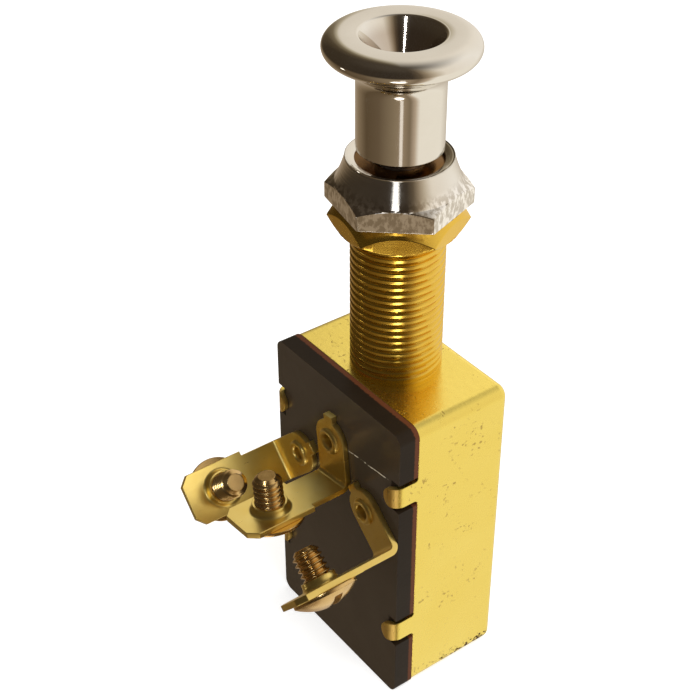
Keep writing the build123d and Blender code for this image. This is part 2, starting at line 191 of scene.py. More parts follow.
def place_camera():
    """Aim at the middle of the case's top from the photograph's side, then slide sideways and up."""
    azimuth, elevation, roll = map(radians, (view_azimuth, view_elevation, view_roll))
    back = Vector((sin(azimuth) * cos(elevation), -cos(azimuth) * cos(elevation), sin(elevation)))
    level = Vector((cos(azimuth), sin(azimuth), 0))
    upright = back.cross(level)
    right = level * cos(roll) + upright * sin(roll)
    up = upright * cos(roll) - level * sin(roll)
    place = Vector((0, 0, case_high.z)) + back * view_distance + right * view_right + up * view_up
    camera = bpy.data.cameras.new("camera")
    camera.sensor_fit = "HORIZONTAL"
    camera.sensor_width = sensor_width
    camera.lens = photo_focal * sensor_width / photo_pixels
    camera.clip_start = 1 * mm
    seat = bpy.data.objects.new("camera", camera)
    seat.matrix_world = Matrix.Translation(place) @ Matrix((right, up, back)).transposed().to_4x4()
    bpy.context.scene.collection.objects.link(seat)
    bpy.context.scene.camera = seat


place_camera()


class Signal:
    """One output of a shader node. Sums on it add Math nodes, so that a formula reads as one."""

    def __init__(self, recipe, socket):
        self.recipe = recipe
        self.socket = socket

    def maths(self, operation, *values):
        return self.recipe.maths(operation, *values)

    def __add__(self, other):
        return self.maths("ADD", self, other)

    __radd__ = __add__

    def __sub__(self, other):
        return self.maths("SUBTRACT", self, other)

    def __rsub__(self, other):
        return self.maths("SUBTRACT", other, self)

    def __mul__(self, other):
        return self.maths("MULTIPLY", self, other)

    __rmul__ = __mul__

    def __truediv__(self, other):
        return self.maths("DIVIDE", self, other)

    def out(self, name):
        """Another output of the same node."""
        return Signal(self.recipe, self.socket.node.outputs[name])


class Recipe:
    """The nodes of one material or of the world."""

    def __init__(self, tree):
        self.tree = tree
        tree.nodes.clear()

    def node(self, kind, settings=None, inputs=None, give=0):
        """Add a node: its settings, then the values or links of its sockets. Gives one output."""
        made = self.tree.nodes.new(kind)
        for name, value in (settings or {}).items():
            if name == "stops":
                self.set_stops(made.color_ramp, value)
            else:
                setattr(made, name, value)
        for name, value in (inputs or {}).items():
            if isinstance(value, Signal):
                self.tree.links.new(value.socket, made.inputs[name])
            else:
                made.inputs[name].default_value = value
        return Signal(self, made.outputs[give]) if len(made.outputs) else None

    def set_stops(self, ramp, stops):
        """Give a colour ramp its stops, each a place from 0 to 1 and a colour."""
        while len(ramp.elements) < len(stops):
            ramp.elements.new(1)
        for element, (place, colour) in zip(ramp.elements, stops):
            element.position = place
            element.color = (*colour, 1)

    def step(self, value, low, high):
        """0 below low, 1 above high, and a smooth rise between."""
        ends = {"Value": value, "From Min": low, "From Max": high}
        return self.node("ShaderNodeMapRange", {"interpolation_type": "SMOOTHSTEP"}, ends)

    def band(self, value, rise, fall):
        """1 between two places, with a smooth rise over one span and fall over the other."""
        return self.step(value, *rise) * (1 - self.step(value, *fall))

    def blend(self, share, first, second, way="MIX"):
        """First colour at share 0, and at share 1 the second, or their product for MULTIPLY."""
        settings = {"data_type": "RGBA", "blend_type": way}
        inputs = {0: share, 6: opaque(first), 7: opaque(second)}
        return self.node("ShaderNodeMix", settings, inputs, give=2)

    def place(self, stretch=(1, 1, 1)):
        """Object coordinates, stretched along each axis."""
        coordinates = self.node("ShaderNodeTexCoord").out("Object")
        return self.node("ShaderNodeMapping", None, {"Vector": coordinates, "Scale": stretch})

    def axes(self):
        """Object coordinates as three signals."""
        coordinates = self.node("ShaderNodeTexCoord").out("Object")
        x = self.node("ShaderNodeSeparateXYZ", None, {"Vector": coordinates})
        return x, x.out("Y"), x.out("Z")

    def maths(self, operation, *values):
        """One Math node on numbers or signals."""
        return self.node("ShaderNodeMath", {"operation": operation}, dict(enumerate(values)))

    def length(self, x, y):
        """Distance from the origin, sqrt(x^2 + y^2)."""
        return self.maths("SQRT", x * x + y * y)

    def noise(self, size, place=None, detail=2, rough=0.5):
        """Cloudy value about 0.5 whose blots are about the given size."""
        inputs = {
            "Vector": place or self.place(),
            "Scale": 1 / size,
            "Detail": detail,
            "Roughness": rough,
        }
        return self.node("ShaderNodeTexNoise", None, inputs)

    def bump(self, height, depth):
        """Surface raised by height times depth, in metres."""
        return self.node("ShaderNodeBump", None, {"Height": height, "Distance": depth})


def opaque(colour):
    """A plain colour gets an alpha of 1, and a signal stays as it is."""
    return colour if isinstance(colour, Signal) else (*colour, 1)


def finish(slot, **sockets):
    """The slot's shader, from the values or signals of its sockets."""
    recipe = recipes[slot]
    named = {name.replace("_", " "): value for name, value in sockets.items()}
    named["Base Color"] = opaque(named["Base Color"])
    shader = recipe.node("ShaderNodeBsdfPrincipled", None, named)
    recipe.node("ShaderNodeOutputMaterial", None, {"Surface": shader})


def new_recipe(slot):
    """A new material of the record's slot, with no nodes yet."""
    material = bpy.data.materials.new(slot)
    material.use_nodes = True
    materials[slot] = material
    recipes[slot] = Recipe(material.node_tree)
    return recipes[slot]


materials = {}
recipes = {}


def make_chrome_plate():
    """Plate over turned brass. The lathe's rings show on the nut's collar and, more weakly, on
    the shank; the knob's head is buffed smooth, the nut's flats keep a mottle of drag marks, and
    the recess is darker inside and reddish towards its floor."""
    chrome = new_recipe("chrome_plate")
    x, y, z = chrome.axes()
    across = chrome.length(x, y)
    depth = knob_high.z - z
    nut_rim = face_nut_high.z
    recess_foot = knob_high.z - recess_depth
    haze = chrome.noise(3 * mm, detail=3)
    mottle = chrome.noise(0.6 * mm, chrome.place((1, 1, 0.6)), detail=3)
    rings = chrome.noise(0.17 * mm, chrome.place((0.02, 0.02, 1)))
    above_flats = chrome.step(z, nut_rim - collar_height, nut_rim - collar_waist)
    flats = 1 - above_flats
    collar = above_flats * (1 - chrome.step(z, nut_rim - 0.2 * mm, nut_rim))
    shank = chrome.band(z, (nut_rim, nut_rim + 1 * mm), (recess_foot, recess_foot + 1 * mm))
    turned_share = collar + 0.4 * shank
    in_mouth = 1 - chrome.step(across, recess_radius - 0.5 * mm, recess_radius)
    above_floor = chrome.step(z, recess_foot - 0.5 * mm, recess_foot)
    hollow = chrome.step(depth, 0.3 * mm, 2 * mm) * in_mouth * above_floor
    deep = chrome.step(depth, recess_depth - 2 * mm, recess_depth)
    plate = chrome.blend(haze, (0.80, 0.76, 0.69), (0.86, 0.83, 0.77))
    # Darker inside the recess, and reddish towards its floor.
    recess_tone = chrome.blend(deep, (0.62, 0.55, 0.48), (0.42, 0.16, 0.13))
    scuffed = chrome.blend(chrome.step(mottle, 0.40, 0.60), (0.62, 0.57, 0.50), (1, 0.97, 0.93))
    outside = chrome.blend(flats, plate, scuffed)
    finish(
        "chrome_plate",
        Base_Color=chrome.blend(hollow, outside, recess_tone),
        Metallic=1.0,
        Roughness=0.05 + 0.04 * haze + 0.05 * turned_share,
        Normal=chrome.bump(rings * turned_share + 0.6 * mottle * flats, 0.018 * mm),
    )


def make_case_brass():
    """Drawn sheet: yellow satin brass with fine dark specks and faint scratches, redder on the
    folded tabs, and ragged pits along the foot of its right side."""
    brass = new_recipe("case_brass")
    x, y, z = brass.axes()
    cloud = brass.noise(9 * mm, detail=3)
    grain = brass.noise(0.9 * mm, detail=4, rough=0.6)
    patches = brass.step(brass.noise(5 * mm), 0.48, 0.62)
    specks = brass.step(brass.noise(0.6 * mm, detail=3), 0.60, 0.70)
    hairs = brass.step(brass.noise(0.5 * mm, brass.place((0.15, 0.15, 1)), detail=1), 0.72, 0.78)
    marks = specks * patches + 0.5 * hairs * patches
    ragged = brass.noise(0.55 * mm, brass.place((1, 1, 1.3)), detail=3, rough=0.7)
    side = brass.step(x, case_side - 0.6 * mm, case_side - 0.3 * mm)
    run = brass.band(y, (pits_from, pits_from + 5 * mm), (pits_to - 1 * mm, pits_to))
    near = run * side * (1 - brass.step(z, 0.3 * pits_top, pits_top))
    pits = brass.step(ragged + 0.12 * near, 0.61, 0.65) * brass.step(near, 0.05, 0.3)
    tabs = 1 - brass.step(y, board_front - 0.1 * mm, board_front + 0.3 * mm)
    sheet = brass.blend(cloud, (0.92, 0.71, 0.14), (0.98, 0.79, 0.20))
    worn = brass.blend(tabs * 0.7, sheet, (0.92, 0.62, 0.20))
    speckled = brass.blend(marks * 0.6, worn, (0.42, 0.27, 0.08))
    finish(
        "case_brass",
        Base_Color=brass.blend(pits, speckled, (0.10, 0.035, 0.015)),
        Metallic=1.0,
        Roughness=0.2 + 0.12 * grain + 0.2 * marks + 0.4 * pits + 0.2 * tabs,
        Normal=brass.bump(grain - marks - 4 * pits, 0.02 * mm),
    )


def make_stem_brass():
    """Turned brass: bright, a little darker in patches, with fine rings, and painted shade
    darkening the stem's end."""
    brass = new_recipe("stem_brass")
    z = brass.axes()[2]
    cloud = brass.noise(2.5 * mm, detail=3)
    rings = brass.noise(0.12 * mm, brass.place((0.03, 0.03, 1)))
    # Painted shade darkens the stem's end.
    painted_shade_end = brass.step(z, stem_high.z - 0.3 * mm, stem_high.z - 0.1 * mm)
    turned_brass = brass.blend(cloud, (0.82, 0.50, 0.06), (0.90, 0.62, 0.11))
    finish(
        "stem_brass",
        Base_Color=brass.blend(painted_shade_end, turned_brass, (0.20, 0.10, 0.025)),
        Metallic=1.0,
        Roughness=0.16 + 0.14 * cloud,
        Normal=brass.bump(rings, 0.008 * mm),
    )


def make_terminal_brass():
    """Stamped strip: pale and satin, with faint drag marks and a little cloudy tarnish."""
    brass = new_recipe("terminal_brass")
    cloud = brass.noise(3 * mm, detail=3)
    drag = brass.noise(0.25 * mm, brass.place((1, 0.1, 1)), detail=3)
    tint = brass.blend(cloud, (0.88, 0.63, 0.15), (0.95, 0.75, 0.26))
    finish(
        "terminal_brass",
        Base_Color=tint,
        Metallic=1.0,
        Roughness=0.24 + 0.12 * drag,
        Normal=brass.bump(drag, 0.0015 * mm),
    )


def make_screw_brass():
    """Machined brass, darker and pinker than the strip, with small dull stains."""
    brass = new_recipe("screw_brass")
    cloud = brass.noise(1.2 * mm, detail=3)
    tint = brass.blend(cloud, (0.58, 0.37, 0.14), (0.88, 0.63, 0.28))
    finish(
        "screw_brass",
        Base_Color=tint,
        Metallic=1.0,
        Roughness=0.14 + 0.16 * cloud,
        Normal=brass.bump(cloud, 0.01 * mm),
    )


def make_board_laminate():
    """Phenolic sheet: near-black brown, its face glossy and very slightly wavy with a pale
    scratch, its sawn edge matt, darkened with painted shade, and rust-brown beside the case.
    The scratch follows the line z = z0 + slope (x - x0), with a little wander."""
    board = new_recipe("board_laminate")
    x, y, z = board.axes()
    cloud = board.noise(6 * mm, detail=3)
    wave = board.noise(4 * mm)
    saw = board.noise(0.3 * mm, board.place((1, 0.3, 1)), detail=3)
    face = 1 - board.step(y, board_front, board_front + 0.03 * mm)
    edge = 1 - face
    ragged = y + 0.5 * mm * (saw - 0.5)
    rust = board.step(ragged, board_back - rust_width, board_back - 0.8 * rust_width)
    start_x, start_z = scratch_start
    end_x, end_z = scratch_end
    slope = (end_z - start_z) / (end_x - start_x)
    wander = 0.25 * mm * (board.noise(1.5 * mm) - 0.5)
    off_line = board.maths("ABSOLUTE", z - start_z - slope * (x - start_x) + wander)
    along = board.band(x, (start_x, start_x + scratch_fade), (end_x - scratch_fade, end_x))
    broken = board.step(board.noise(0.5 * mm), 0.40, 0.55)
    scratch = (1 - board.step(off_line, 0.04 * mm, 0.10 * mm)) * along * broken * face
    sheet = board.blend(cloud, (0.026, 0.018, 0.012), (0.040, 0.029, 0.020))
    edged = board.blend(rust * 0.85, sheet, (0.22, 0.075, 0.035))
    # Painted shade: the sawn edge's colour is darkened, and the face is left as it is.
    shade = board.blend(face, (0.55, 0.50, 0.42), (1, 1, 1))
    dimmed = board.blend(1.0, edged, shade, "MULTIPLY")
    finish(
        "board_laminate",
        Base_Color=board.blend(scratch, dimmed, (0.62, 0.55, 0.40)),
        Specular_IOR_Level=0.08,
        Roughness=0.3 + 0.2 * saw * edge,
        Coat_Weight=face * (1 - scratch),
        Coat_Roughness=0.13,
        Normal=board.bump(wave * face + 0.4 * saw * edge, 0.03 * mm),
    )


def make_slider_moulding():
    """Moulded phenolic with a matt, finely mottled skin."""
    moulding = new_recipe("slider_moulding")
    mottle = moulding.noise(0.6 * mm, detail=4)
    tint = moulding.blend(mottle, (0.035, 0.026, 0.02), (0.06, 0.045, 0.036))
    finish(
        "slider_moulding",
        Base_Color=tint,
        Roughness=0.45 + 0.2 * mottle,
        Normal=moulding.bump(mottle, 0.02 * mm),
    )


def make_fibre():
    """Red-brown vulcanised fibre with short strands in its face."""
    sheet = new_recipe("fibre")
    strands = sheet.noise(0.3 * mm, sheet.place((1, 0.2, 1)), detail=4)
    tint = sheet.blend(strands, (0.28, 0.09, 0.055), (0.42, 0.16, 0.10))
    finish(
        "fibre",
        Base_Color=tint,
        Roughness=0.6 + 0.2 * strands,
        Normal=sheet.bump(strands, 0.03 * mm),
    )


def make_plain_steel():
    """Turned steel with fine rings and a faint grey cloud."""
    steel = new_recipe("plain_steel")
    rings = steel.noise(0.15 * mm, steel.place((0.03, 0.03, 1)), detail=3)
    tint = steel.blend(rings, (0.50, 0.49, 0.47), (0.60, 0.59, 0.57))
    finish(
        "plain_steel",
        Base_Color=tint,
        Metallic=1.0,
        Roughness=0.22 + 0.14 * rings,
        Normal=steel.bump(rings, 0.006 * mm),
    )


def make_spring_steel():
    """Tempered steel: darker, with a faint blue-grey bloom."""
    steel = new_recipe("spring_steel")
    bloom = steel.noise(1.5 * mm, detail=3)
    tint = steel.blend(bloom, (0.36, 0.37, 0.39), (0.50, 0.49, 0.47))
    finish(
        "spring_steel",
        Base_Color=tint,
        Metallic=1.0,
        Roughness=0.25 + 0.15 * bloom,
        Normal=steel.bump(bloom, 0.01 * mm),
    )


for make in (
    make_chrome_plate,
    make_case_brass,
    make_stem_brass,
    make_terminal_brass,
    make_screw_brass,
    make_board_laminate,
    make_slider_moulding,
    make_fibre,
    make_plain_steel,
    make_spring_steel,
):
    make()
for node, solid in frame["nodes"].items():
    solid.material_slots[0].material = materials[slot_of[node]]


def skin(name, node, points, crease=crease_angle):
    """Closed mesh over a grid of points that stands for a node: rows run along the profile and
    columns go round. Coinciding points are merged, which closes the poles."""
    rows, columns = points.shape[:2]
    numbers = np.arange(rows * columns).reshape(rows, columns)
    after = np.roll(numbers, -1, axis=1)
    faces = np.stack((numbers[:-1], after[:-1], after[1:], numbers[1:]), axis=-1)
    mesh = bpy.data.meshes.new(name)
    mesh.from_pydata(points.reshape(-1, 3).tolist(), [], faces.reshape(-1, 4).tolist())
    tidy(mesh)
    return dress(name, node, mesh, crease)


def tidy(mesh, flat=0):
    """Merge the doubles, turn the faces outwards, and join facets within an angle of a flat."""
    work = bmesh.new()
    work.from_mesh(mesh)
    bmesh.ops.remove_doubles(work, verts=work.verts, dist=merge_distance)
    loose = [edge for edge in work.edges if not edge.link_faces]
    bmesh.ops.delete(work, geom=loose, context="EDGES")
    if flat:
        bmesh.ops.dissolve_limit(
            work, angle_limit=radians(flat), verts=work.verts, edges=work.edges
        )
    bmesh.ops.recalc_face_normals(work, faces=work.faces)
    work.to_mesh(mesh)
    work.free()


def dress(name, node, mesh, crease=crease_angle):
    """The mesh becomes the piece that stands for a node: its body, slot and material."""
    mesh.shade_smooth()
    mesh.set_sharp_from_angle(angle=radians(crease))
    mesh.materials.clear()
    mesh.materials.append(materials[slot_of[node]])
    piece = bpy.data.objects.new(name, mesh)
    bpy.context.scene.collection.objects.link(piece)
    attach(piece, body_of[node])
    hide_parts(node)
    return piece


def soften(piece, radius, crease=crease_angle):
    """Round the sharp edges, and keep the flats flat in the shading."""
    bevel = piece.modifiers.new("edges", "BEVEL")
    bevel.width = radius
    bevel.segments = 2
    bevel.limit_method = "ANGLE"
    bevel.angle_limit = radians(crease)
    bevel.use_clamp_overlap = False
    shading = piece.modifiers.new("shading", "WEIGHTED_NORMAL")
    shading.keep_sharp = False


def arc(centre, radius, start, end, steps):
    """Points at the radius from the centre, from one angle in degrees to the other."""
    angles = np.radians(np.linspace(start, end, steps))
    return np.stack((centre[0] + radius * np.cos(angles), centre[1] + radius * np.sin(angles)), -1)


def bend(start, end, start_way, end_way, steps=14):
    """Hermite curve: (2t^3-3t^2+1) start + (t^3-2t^2+t) a + (3t^2-2t^3) end + (t^3-t^2) b, where
    a and b are the two ways, each as long as the chord."""
    start, end, start_way, end_way = map(np.asarray, (start, end, start_way, end_way))
    chord = np.linalg.norm(end - start)
    leave = start_way / np.linalg.norm(start_way) * chord
    arrive = end_way / np.linalg.norm(end_way) * chord
    t = np.linspace(0, 1, steps)[:, None]
    return (
        (2 * t**3 - 3 * t**2 + 1) * start
        + (t**3 - 2 * t**2 + t) * leave
        + (3 * t**2 - 2 * t**3) * end
        + (t**3 - t**2) * arrive
    )


def eased(corners, steps=4):
    """Open profile through corners (radius, height, ease): each is rounded by the quadratic
    (1-t)^2 a + 2t(1-t) corner + t^2 b, where a and b lie its ease away on both sides."""
    corners = np.asarray(corners, float)
    places = corners[:, :2]
    ease = corners[:, 2:]
    back = np.vstack((places[:1], places[:-1])) - places
    ahead = np.vstack((places[1:], places[-1:])) - places
    back /= np.maximum(np.linalg.norm(back, axis=1, keepdims=True), 1e-12)
    ahead /= np.maximum(np.linalg.norm(ahead, axis=1, keepdims=True), 1e-12)
    t = np.linspace(0, 1, steps)[None, :, None]
    first = (places + back * ease)[:, None]
    last = (places + ahead * ease)[:, None]
    curve = (1 - t) ** 2 * first + 2 * t * (1 - t) * places[:, None] + t**2 * last
    return curve.reshape(-1, 2)


def all_round(columns):
    """Angles of a whole turn, evenly spaced."""
    return np.linspace(0, 2 * pi, columns, endpoint=False)


def wound(radius, height, angles):
    """Points at a radius and a height for each angle round Z: (r cos a, r sin a, h)."""
    return np.stack(
        (radius * np.cos(angles), radius * np.sin(angles), height + 0 * angles), axis=-1
    )


def turned(profile, columns):
    """Each profile point (radius, height) goes round Z."""
    radius, height = np.asarray(profile, float).T[..., None]
    return wound(radius, height, all_round(columns))


def stood(points, origin, along, across):
    """Points turned so that Z runs along one direction and X across, then moved to the origin."""
    along = np.asarray(along, float) / np.linalg.norm(along)
    across = np.asarray(across, float) - np.dot(across, along) * along
    across /= np.linalg.norm(across)
    axes = np.stack((across, np.cross(along, across), along))
    return points @ axes + np.asarray(origin)


def make_knob():
    """Turned profile: foot chamfer, shank, cove under the head, and a rolled rim of elliptical
    section, (c + a cos t, h + b sin t), that ends at the mouth of the recess. The recess is a
    thin piece of its own."""
    foot = knob_low.z
    top = knob_high.z
    columns = 192
    rim_points = 40
    recess_steps = 10
    rim_middle = knob_high.x - rim_half_width
    rim_height = top - rim_half_height
    shank_top = foot + shank_length
    t = np.radians(np.linspace(rim_start, 90, rim_points))
    rim = np.stack(
        (rim_middle + rim_half_width * np.cos(t), rim_height + rim_half_height * np.sin(t)), -1
    )
    under_way = (-rim_half_width * sin(t[0]), rim_half_height * cos(t[0]))
    cove = bend((shank_radius, shank_top), rim[0], (0, 1), under_way)
    foot_edge = eased(
        (
            (0, foot, 0),
            (shank_radius - shank_chamfer, foot, shank_ease),
            (shank_radius, foot + shank_chamfer, shank_ease),
            (shank_radius, shank_top, 0),
        )
    )
    hollow = eased(
        (
            (rim_middle, top, 0),
            (recess_radius, top, recess_lip),
            (recess_floor, top - recess_depth, recess_floor_ease),
            (0, top - recess_depth, 0),
        ),
        recess_steps,
    )[recess_steps:]
    under = hollow - (0, liner_thickness)
    under[:, 0] = np.minimum(under[:, 0], recess_radius)
    lip_start = hollow[:1]
    body = np.vstack((foot_edge[:-1], cove[:-1], rim, lip_start, under))
    liner = np.vstack((hollow, under[::-1], lip_start))
    return (
        skin("knob_turned", "knob", turned(body, columns)),
        skin("knob_recess", "knob", turned(liner, columns)),
    )


def hexagon(flats, turn, columns=24):
    """Angles round a hexagon with its corners among them, and the distance to its side at each:
    half the flats over the cosine of the angle from the side's middle."""
    angles = np.arange(6 * columns) * pi / (3 * columns)
    reach = flats / 2 / np.cos((angles % (pi / 3)) - pi / 6)
    return angles + radians(turn), reach


def nut(flats, turn, inner, foot, foot_slope, shoulder, shoulder_radius, shoulder_slope, outer):
    """Grid of a hexagonal nut. Rows: the bore's profile, the foot, the lower and upper edge of
    the flats, and the profile above the shoulder. Each edge of a flat lies on a cone, so its
    height changes by slope times how far the hexagon stands out of the cone's circle."""
    angles, reach = hexagon(flats, turn)
    foot_circle = flats / 2
    rows = [
        *inner,
        (foot_circle, foot),
        (reach, foot + foot_slope * (reach - foot_circle)),
        (reach, shoulder - shoulder_slope * (reach - shoulder_radius)),
        (shoulder_radius, shoulder),
        *outer,
    ]
    grid = np.array([(radius + 0 * angles, height + 0 * angles) for radius, height in rows])
    return wound(grid[:, 0], grid[:, 1], angles)


def make_back_nut():
    """Plain brass hexagon: its crown and its foot both slope down to the corners."""
    foot = back_nut_low.z
    top = back_nut_high.z
    bore = ((stem_radius, top), (stem_radius, foot))
    points = nut(
        back_nut_flats, back_nut_turn, bore, foot, back_nut_foot_slope,
        top, back_nut_crown_radius, back_nut_crown_slope, bore[:1],
    )
    piece = skin("back_nut_hexagon", "back_nut", points, back_nut_crease)
    soften(piece, back_nut_edge, back_nut_crease)


def make_face_nut():
    """Chromed hexagon under a waisted conical collar, with a dished rim and a narrow mouth."""
    foot = face_nut_low.z
    rim = face_nut_high.z
    shoulder = rim - collar_height
    base_radius = face_nut_flats / 2
    collar_steps = 8
    lip_foot = (collar_rim_radius, rim - collar_lip)
    outer_ease, inner_ease, dish_ease = collar_lip_eases
    lower = bend(
        (base_radius, shoulder), (collar_waist_radius, shoulder + collar_waist),
        collar_foot_way, collar_waist_way, collar_steps,
    )
    upper = bend(lower[-1], lip_foot, collar_waist_way, collar_rim_way, collar_steps)
    lip = eased(
        (
            (*lip_foot, 0),
            (collar_rim_radius - collar_lip / 2, rim, outer_ease),
            (collar_rim_radius - collar_dish, rim - collar_lip / 2, inner_ease),
            (nut_mouth, rim - collar_dish, dish_ease),
            (nut_mouth, stem_high.z, 0),
            (stem_radius, stem_high.z, 0),
        )
    )
    bore = ((stem_radius, stem_high.z), (stem_radius, foot))
    outer = np.vstack((lower[1:], upper[1:], lip))
    points = nut(
        face_nut_flats, face_nut_turn, bore, foot, 0,
        shoulder, base_radius, face_nut_slope, outer,
    )
    piece = skin("face_nut_collar", "face_nut", points, face_nut_crease)
    soften(piece, face_nut_edge, face_nut_crease)
    return piece


def groove(turns):
    """Depth share of a thread at a number of turns along it, (1 - cos(2 pi turns)) / 2."""
    return (1 - np.cos(2 * pi * turns)) / 2


def make_stem():
    """Threaded bushing: radius = stem radius - depth x groove^power of (height / pitch - angle /
    turn), which leaves wide crests between narrow grooves. The thread fades in at the foot, and
    a chamfer and the plain bore follow its end."""
    columns = 120
    rows_per_pitch = 12
    plain_turns = 0.3
    foot = case_high.z
    top = stem_high.z
    angles = all_round(columns)
    rows = int((top - foot) / stem_pitch * rows_per_pitch)
    height = np.linspace(foot, top - stem_chamfer, rows)[:, None]
    turns = (height - foot) / stem_pitch
    fade = np.clip(turns - plain_turns, 0, 1)
    cut = groove(turns - angles / (2 * pi)) ** stem_groove_power
    radius = stem_radius - stem_thread_depth * fade * cut
    outside = wound(radius, height, angles)
    ends = turned(
        ((stem_radius - stem_chamfer, top), (stem_bore, top), (stem_bore, foot), (stem_radius, foot)),
        columns,
    )
    points = np.concatenate((outside, ends, outside[:1]))
    return skin("stem_thread", "stem_bushing", points, stem_crease)


def screw_shank():
    """Thread: radius = screw radius - depth x groove of (height / pitch - angle / turn), tapered
    at the point."""
    columns = 64
    rows_per_pitch = 16
    angles = all_round(columns)
    rows = int(screw_length / screw_pitch * rows_per_pitch)
    height = np.linspace(0, screw_length, rows)[:, None]
    taper = np.minimum(screw_radius, screw_radius - screw_point + (screw_length - height))
    cut = groove(height / screw_pitch - angles / (2 * pi))
    radius = np.minimum(screw_radius - screw_thread_depth * cut, taper)
    flat = screw_radius - screw_point - screw_tip_edge
    tip = turned(((flat, screw_length), (0, screw_length)), columns)
    root = turned(((0, 0),), columns)
    return np.concatenate((root, wound(radius, height, angles), tip))


def screw_head():
    """Sections across the slot, each from the flat underside up the edge and over the dome
    edge + (height - edge)(1 - reach^power), cut at the slot's floor where it passes. They crowd
    towards the sides, at sin t of the radius."""
    side_sections = 14
    slot_sections = 5
    under_points = 3
    dome_points = 41
    half = slot_width / 2 / head_radius
    crowded = np.sin(np.linspace(0, pi / 2, side_sections))
    lower = -half - (1 - half) * crowded[::-1]
    across = np.concatenate((lower, np.linspace(-half, half, slot_sections), -lower[::-1]))
    in_slot = np.zeros(len(across), bool)
    in_slot[side_sections : side_sections + slot_sections] = True
    width = np.sqrt(np.maximum(1 - across**2, 0)) * head_radius
    over = np.sin(np.linspace(pi / 2, -pi / 2, dome_points))
    steps = np.concatenate((np.linspace(-1, 1, under_points), over))
    x = steps * width[:, None]
    y = across[:, None] * head_radius + 0 * x
    reach = np.minimum(np.hypot(x, y) / head_radius, 1)
    dome = head_edge + (head_height - head_edge) * (1 - reach**head_dome_power)
    z = np.where(in_slot[:, None], np.minimum(dome, head_height - slot_depth), dome)
    z[:, :under_points] = 0
    return np.stack((x, y, z), axis=-1)


def make_screw(side):
    """Threaded shank and slotted head of one terminal screw, set on its mount."""
    mount = mounts[f"wire_{side}"]
    origin = np.array(mount["pos_m"])
    outward = np.array(mount["axis"])
    slot_way = np.cross(outward, (0, 1, 0))
    shank = stood(screw_shank(), origin, -outward, slot_way)
    head = stood(screw_head(), origin, outward, slot_way)
    thread_piece = skin(f"screw_{side}_thread", f"screw_{side}", shank, screw_crease)
    head_piece = skin(f"screw_{side}_head", f"screw_{side}", head)
    soften(head_piece, screw_edge)
    return thread_piece, head_piece


def make_eyelet(side):
    """Turned profile: contact face inside, tube through the board, and the rolled head with its
    bore left open."""
    columns = 64
    roll_points = 14
    low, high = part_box(f"eyelet_{side}")
    middle = ((low.x + high.x) / 2, 0, (low.z + high.z) / 2)
    roll_foot = -low.y - eyelet_roll
    contact = -high.y
    contact_back = contact + contact_thickness
    contact_radius = (high.x - low.x) / 2 - contact_setback
    roll_middle = (eyelet_bore + eyelet_head_radius) / 2
    roll_radius = (eyelet_head_radius - eyelet_bore) / 2
    roll = arc((roll_middle, roll_foot), roll_radius, 0, 180, roll_points)
    outside = (
        (eyelet_bore, contact),
        (contact_radius - contact_chamfer, contact),
        (contact_radius, contact + contact_chamfer),
        (contact_radius, contact_back),
        (eyelet_tube, contact_back),
        (eyelet_tube, roll_foot),
    )
    profile = np.vstack((outside, roll, outside[:1]))
    points = stood(turned(profile, columns), middle, (0, -1, 0), (1, 0, 0))
    return skin(f"eyelet_{side}_roll", f"eyelet_{side}", points)


def make_soft_copy(node, name, radius):
    """A solid's own mesh, merged, with its punched or folded edges rounded."""
    mesh = frame["nodes"][node].data.copy()
    mesh.name = name
    tidy(mesh, flat_angle)
    piece = dress(name, node, mesh)
    soften(piece, radius)
    return piece


knob, recess = make_knob()
face_nut = make_face_nut()
make_back_nut()
stem = make_stem()
shell = make_soft_copy("housing", "housing_shell", case_edge)
board = make_soft_copy("terminal_board", "board_sheet", board_edge)
screws = []
strips = []
eyelets = []
for side in ("left", "centre", "right"):
    screws += make_screw(side)
    eyelets.append(make_eyelet(side))
    strips.append(make_soft_copy(f"terminal_{side}", f"terminal_{side}_strip", strip_edge))


def direction_to(azimuth, elevation):
    """Unit direction from angles in degrees: azimuth from the camera's side towards its right."""
    turn = radians(view_azimuth + azimuth)
    rise = radians(elevation)
    return (sin(turn) * cos(rise), -cos(turn) * cos(rise), sin(rise))


def ring(room, azimuth, stops):
    """Colours round the horizon, given as (azimuth, colour)."""
    places = [((angle + 180) / 360, colour) for angle, colour in stops]
    return room.node("ShaderNodeValToRGB", {"stops": places}, {"Fac": azimuth / 360 + 0.5})


def lamp_disc(room, direction, way, edge, core):
    """1 within the core angle of a lamp's way (azimuth, elevation) and 0 past its edge angle."""
    inputs = {0: direction, 1: direction_to(*way)}
    cosine = room.node("ShaderNodeVectorMath", {"operation": "DOT_PRODUCT"}, inputs, give="Value")
    return room.step(cosine, cos(radians(edge)), cos(radians(core)))


